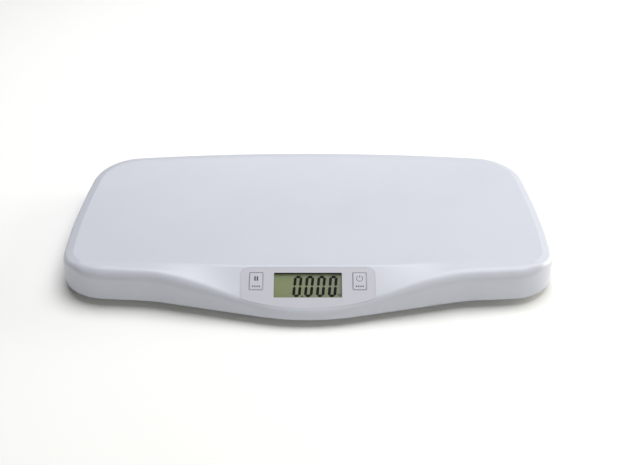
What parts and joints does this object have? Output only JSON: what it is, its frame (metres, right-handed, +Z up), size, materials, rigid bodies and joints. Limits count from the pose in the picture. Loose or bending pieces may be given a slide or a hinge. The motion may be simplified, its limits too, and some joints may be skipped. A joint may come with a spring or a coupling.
{
  "type": "baby weighing scale",
  "caption": "Digital baby scale: a broad shallow plastic tray with a sloping front console, display window and two keys, on four load-cell feet, with a battery box below.",
  "frame": {"origin": "on the floor under the middle of the scale, at the underside of the feet", "axes": "+X along the tray's length, to the right as the user reads the display; +Y from the console to the back; +Z up"},
  "size_m": [0.55, 0.3297, 0.0441],
  "materials": {
    "tray_plastic": "satin",
    "cover_plastic": "matte",
    "faceplate_film": "satin",
    "display_lens": "polished",
    "lcd": "satin",
    "inner_plastic": "matte",
    "contact_rubber": "matte",
    "circuit_board": "satin",
    "steel_screw": "satin",
    "key_plastic": "satin",
    "switch_body": "matte",
    "spring_steel": "satin",
    "battery_sleeve": "satin",
    "foot_rubber": "matte",
    "lead_sheath": "satin",
    "load_cell_steel": "satin"
  },
  "bodies": {
    "scale": {"battery_1": "battery_sleeve", "battery_2": "battery_sleeve", "battery_3": "battery_sleeve", "battery_4": "battery_sleeve", "battery_contacts": "spring_steel", "battery_leads": "lead_sheath", "board_screws": "steel_screw", "bottom_cover": "cover_plastic", "buzzer": "switch_body", "cell_leads": "lead_sheath", "contact_strips": "contact_rubber", "controller_chip": "switch_body", "cover_screws": "steel_screw", "display_lens": "display_lens", "faceplate": "faceplate_film", "hold_switch": "switch_body", "lcd_glass": "lcd", "lcd_holder": "inner_plastic", "load_cell_cap_back_left": "inner_plastic", "load_cell_cap_back_right": "inner_plastic", "load_cell_cap_front_left": "inner_plastic", "load_cell_cap_front_right": "inner_plastic", "main_board": "circuit_board", "tare_switch": "switch_body", "tray_shell": "tray_plastic", "unit_board": "circuit_board", "unit_lead": "lead_sheath", "unit_switch": "switch_body"},
    "hold_key": {"hold_key": "key_plastic", "hold_plunger": "inner_plastic"},
    "tare_key": {"tare_key": "key_plastic", "tare_plunger": "inner_plastic"},
    "unit_button": {"unit_button": "key_plastic"},
    "battery_door": {"battery_door": "cover_plastic"},
    "foot_front_left": {"foot_pad_front_left": "foot_rubber", "foot_cup_front_left": "inner_plastic", "load_cell_front_left": "load_cell_steel"},
    "foot_front_right": {"foot_pad_front_right": "foot_rubber", "foot_cup_front_right": "inner_plastic", "load_cell_front_right": "load_cell_steel"},
    "foot_back_left": {"foot_pad_back_left": "foot_rubber", "foot_cup_back_left": "inner_plastic", "load_cell_back_left": "load_cell_steel"},
    "foot_back_right": {"foot_pad_back_right": "foot_rubber", "foot_cup_back_right": "inner_plastic", "load_cell_back_right": "load_cell_steel"}
  },
  "joints": [
    {"name": "hold_key_press", "type": "slide", "parent": "scale", "child": "hold_key", "axis": [0, 0.4812, -0.8766], "range_m": [0, 0.0004], "stiffness_N_per_m": 5000},
    {"name": "tare_key_press", "type": "slide", "parent": "scale", "child": "tare_key", "axis": [0, 0.4812, -0.8766], "range_m": [0, 0.0004], "stiffness_N_per_m": 5000},
    {"name": "unit_button_press", "type": "slide", "parent": "scale", "child": "unit_button", "axis": [0, 0, 1], "range_m": [0, 0.0004], "stiffness_N_per_m": 5000},
    {"name": "battery_door_tilt", "type": "hinge", "parent": "scale", "child": "battery_door", "pos_m": [0, -0.024, 0.0112], "axis": [1, 0, 0], "range_deg": [0, 50]},
    {"name": "foot_front_left_load", "type": "slide", "parent": "scale", "child": "foot_front_left", "axis": [0, 0, 1], "range_m": [0, 0.0005], "stiffness_N_per_m": 120000},
    {"name": "foot_front_right_load", "type": "slide", "parent": "scale", "child": "foot_front_right", "axis": [0, 0, 1], "range_m": [0, 0.0005], "stiffness_N_per_m": 120000},
    {"name": "foot_back_left_load", "type": "slide", "parent": "scale", "child": "foot_back_left", "axis": [0, 0, 1], "range_m": [0, 0.0005], "stiffness_N_per_m": 120000},
    {"name": "foot_back_right_load", "type": "slide", "parent": "scale", "child": "foot_back_right", "axis": [0, 0, 1], "range_m": [0, 0.0005], "stiffness_N_per_m": 120000}
  ]
}
